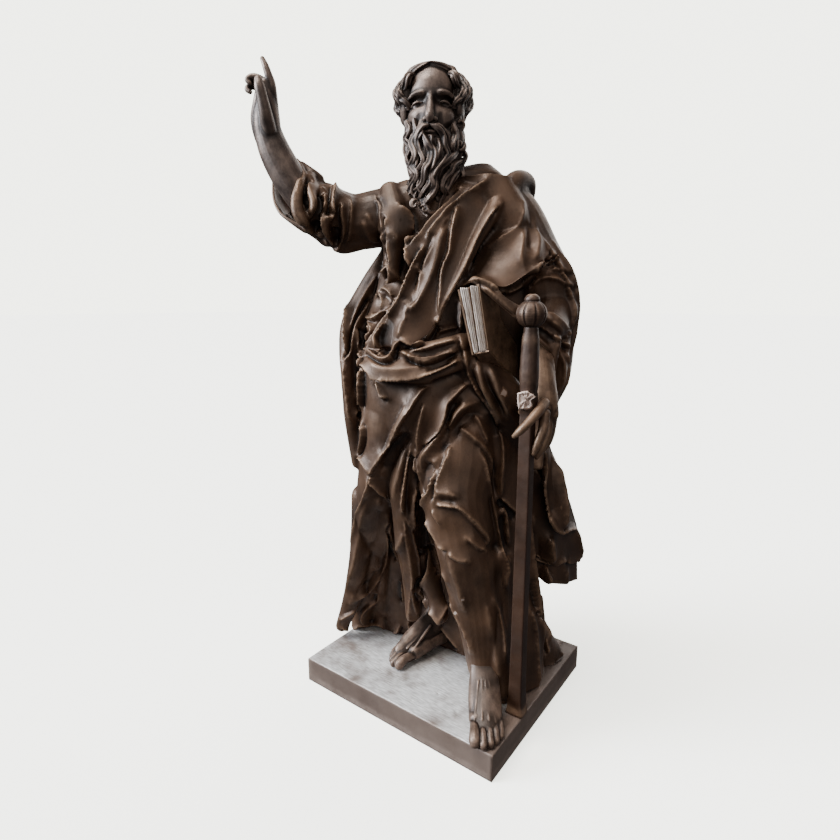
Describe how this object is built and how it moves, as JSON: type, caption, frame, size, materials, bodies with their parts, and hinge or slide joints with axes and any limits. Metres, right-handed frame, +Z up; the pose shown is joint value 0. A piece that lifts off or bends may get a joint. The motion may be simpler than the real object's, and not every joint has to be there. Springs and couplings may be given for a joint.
{
  "type": "statue of a robed saint on a plinth",
  "caption": "Standing bearded saint in tunic and cloak, right arm raised, left hand with book over an upright sword, on a low rectangular plinth.",
  "frame": {"origin": "middle of the plinth's underside, where the statue stands", "axes": "+Z up, -Y the plinth's front, +X the saint's left, where the sword stands"},
  "size_m": [0.7486, 0.6575, 1.7193],
  "materials": {
    "figure_bronze": "dark brown bronze patina, semi-gloss, lighter on worn folds, dusty in hollows",
    "sword_bronze": "dark brown bronze patina, with a pale raw break at the cross-guard",
    "plinth_bronze": "brown bronze patina, grey and dusty on top, with pits and brush marks"
  },
  "bodies": {
    "root": {"saint_figure": "figure_bronze", "sword": "sword_bronze", "plinth": "plinth_bronze"}
  },
  "joints": []
}
